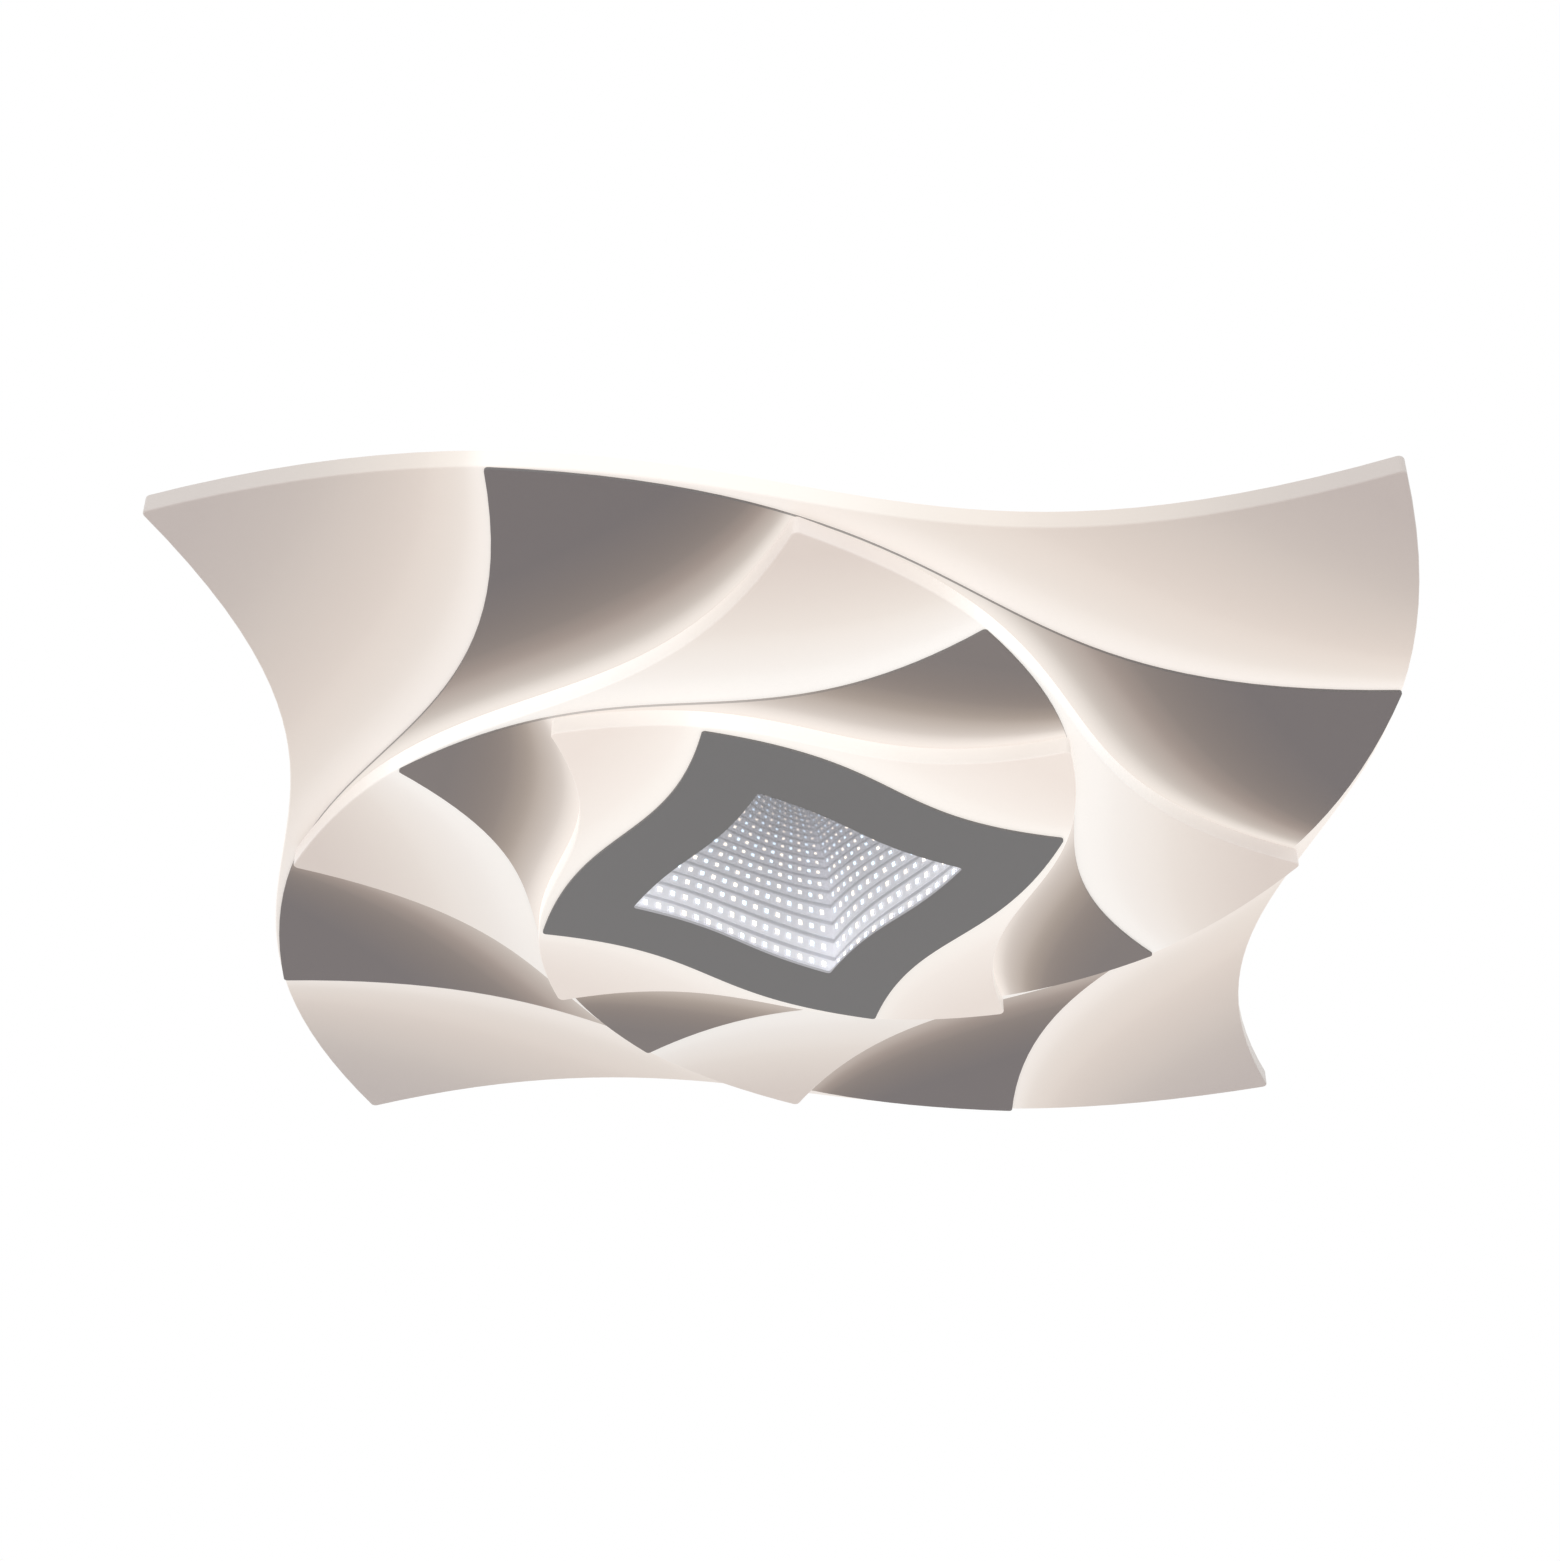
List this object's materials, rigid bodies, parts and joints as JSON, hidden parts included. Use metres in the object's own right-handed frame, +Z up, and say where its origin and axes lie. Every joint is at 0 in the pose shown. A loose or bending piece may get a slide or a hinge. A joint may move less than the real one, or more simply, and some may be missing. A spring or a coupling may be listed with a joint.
{
  "type": "led ceiling light",
  "caption": "Flat ceiling light of stacked twisted square panels, milky lit trays under grey sheets, with a square infinity-mirror window in the middle.",
  "frame": {"origin": "on the ceiling, at the centre of the mounting bracket", "axes": "+Z up into the ceiling, so the lit face looks along -Z; +X along the bracket strap; the four tips of the largest panel point between the X and Y axes"},
  "size_m": [0.6, 0.6, 0.0705],
  "materials": {
    "milky_acrylic": "satin milky white acrylic, lit from behind",
    "grey_satin_sheet": "smooth matt grey paint",
    "white_painted_steel": "white powder coat",
    "zinc_steel": "bright zinc plate",
    "white_plastic": "moulded matt white",
    "brass_screws": "bright",
    "black_rubber": "moulded matt black",
    "white_board": "white solder resist",
    "light_chips": "phosphor gel in a white case",
    "nickel_magnet": "nickel plate",
    "one_way_mirror": "part-silvered",
    "silver_mirror": "silvered",
    "black_cover": "matt black"
  },
  "bodies": {
    "root": {"back_mirror": "silver_mirror", "base_pan": "white_painted_steel", "box_cover": "black_cover", "ceiling_bracket": "zinc_steel", "centre_frame": "grey_satin_sheet", "driver_screws": "zinc_steel", "earth_screw": "zinc_steel", "frame_magnets": "nickel_magnet", "frame_nuts": "zinc_steel", "frame_studs": "zinc_steel", "inner_carrier": "white_painted_steel", "inner_chips": "light_chips", "inner_diffuser": "milky_acrylic", "inner_light_boards": "white_board", "lower_nuts": "zinc_steel", "lower_pads": "black_rubber", "lower_spacers": "white_plastic", "lower_studs": "zinc_steel", "magnet_posts": "zinc_steel", "middle_carrier": "white_painted_steel", "middle_chips": "light_chips", "middle_diffuser": "milky_acrylic", "middle_light_boards": "white_board", "middle_shade": "grey_satin_sheet", "mirror_box_wall": "white_plastic", "mirror_chips": "light_chips", "mirror_driver": "white_plastic", "mirror_strip": "white_board", "one_way_glass": "one_way_mirror", "outer_carrier": "white_painted_steel", "outer_chips": "light_chips", "outer_diffuser": "milky_acrylic", "outer_light_boards": "white_board", "outer_shade": "grey_satin_sheet", "pan_screws": "zinc_steel", "panel_driver": "white_plastic", "terminal_block": "white_plastic", "terminal_screws": "brass_screws", "thumb_screws": "zinc_steel", "upper_nuts": "zinc_steel", "upper_pads": "black_rubber", "upper_spacers": "white_plastic", "upper_studs": "zinc_steel", "wire_grommet": "black_rubber"}
  },
  "joints": []
}
